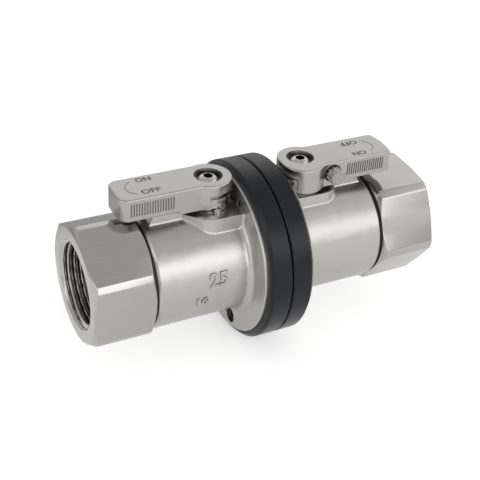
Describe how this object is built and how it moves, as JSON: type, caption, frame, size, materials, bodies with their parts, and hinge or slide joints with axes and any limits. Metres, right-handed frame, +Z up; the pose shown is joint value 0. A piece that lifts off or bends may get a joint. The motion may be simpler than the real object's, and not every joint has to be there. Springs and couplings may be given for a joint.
{
  "type": "quick coupling",
  "caption": "Full-flow quick coupling: two ball valve halves with lever handles and hexagon ports, joined by a bayonet.",
  "frame": {"origin": "on the flow axis, in the joint plane between the two halves", "axes": "+X along the flow axis towards the right half, +Z up along the valve stems"},
  "size_m": [0.1424, 0.07, 0.07],
  "materials": {
    "cast_stainless": "bead blasted casting",
    "machined_stainless": "satin, milled",
    "turned_stainless": "turned",
    "polished_stainless": "polished",
    "screw_steel": "bright",
    "black_oxide": "black oxide on steel",
    "spring_steel": "drawn wire",
    "black_ring": "smooth, soft gloss",
    "black_rubber": "moulded",
    "ptfe": "turned, waxy"
  },
  "bodies": {
    "left_half": {"left_valve_body": "cast_stainless", "left_end_connector": "machined_stainless", "left_connector_seal": "black_rubber", "left_inner_seat": "ptfe", "left_outer_seat": "ptfe", "left_clamp_ring": "black_ring", "left_ring_screws": "black_oxide", "left_ring_dowels": "black_oxide", "left_stop_pin": "turned_stainless", "left_pin_spring": "spring_steel", "coupling_seal": "black_rubber"},
    "left_lever": {"left_handle": "cast_stainless", "left_handle_screw": "screw_steel", "left_screw_washer": "black_oxide", "left_interlock_disc": "turned_stainless", "left_stem": "turned_stainless", "left_stem_seals": "black_rubber", "left_thrust_washer": "ptfe", "left_ball": "polished_stainless"},
    "left_lock_pin": {"left_interlock_pin": "turned_stainless"},
    "right_half": {"right_valve_body": "cast_stainless", "right_end_connector": "machined_stainless", "right_connector_seal": "black_rubber", "right_inner_seat": "ptfe", "right_outer_seat": "ptfe", "right_clamp_ring": "black_ring", "right_ring_screws": "black_oxide", "right_ring_dowels": "black_oxide", "right_stop_pin": "turned_stainless", "right_pin_spring": "spring_steel"},
    "right_lever": {"right_handle": "cast_stainless", "right_handle_screw": "screw_steel", "right_screw_washer": "black_oxide", "right_interlock_disc": "turned_stainless", "right_stem": "turned_stainless", "right_stem_seals": "black_rubber", "right_thrust_washer": "ptfe", "right_ball": "polished_stainless", "button_spring": "spring_steel", "button_retaining_pin": "turned_stainless"},
    "right_lock_pin": {"right_interlock_pin": "turned_stainless"},
    "push_button": {"lock_button": "screw_steel"}
  },
  "joints": [
    {"name": "half_twist", "type": "hinge", "parent": "left_half", "child": "right_half", "pos_m": [0, 0, 0], "axis": [1, 0, 0], "range_deg": [0, 45]},
    {"name": "left_handle_turn", "type": "hinge", "parent": "left_half", "child": "left_lever", "pos_m": [-0.0193, 0, 0], "axis": [0, 0, 1], "range_deg": [0, 90]},
    {"name": "right_handle_turn", "type": "hinge", "parent": "right_half", "child": "right_lever", "pos_m": [0.0193, 0, 0], "axis": [0, 0, 1], "range_deg": [0, 90]},
    {"name": "left_pin_slide", "type": "slide", "parent": "left_half", "child": "left_lock_pin", "axis": [-1, 0, 0], "range_m": [0, 0.0015], "deforming": ["left_pin_spring"]},
    {"name": "right_pin_slide", "type": "slide", "parent": "right_half", "child": "right_lock_pin", "axis": [1, 0, 0], "range_m": [0, 0.0015], "deforming": ["right_pin_spring"]},
    {"name": "button_press", "type": "slide", "parent": "right_lever", "child": "push_button", "axis": [0, 1, 0], "range_m": [0, 0.003], "stiffness_N_per_m": 400, "springref_m": -0.003, "deforming": ["button_spring"]}
  ],
  "couplings": [
    {"joint": "left_pin_slide", "follows": "left_handle_turn", "m_per_rad": 0.00095493},
    {"joint": "right_pin_slide", "follows": "right_handle_turn", "m_per_rad": 0.00095493}
  ]
}
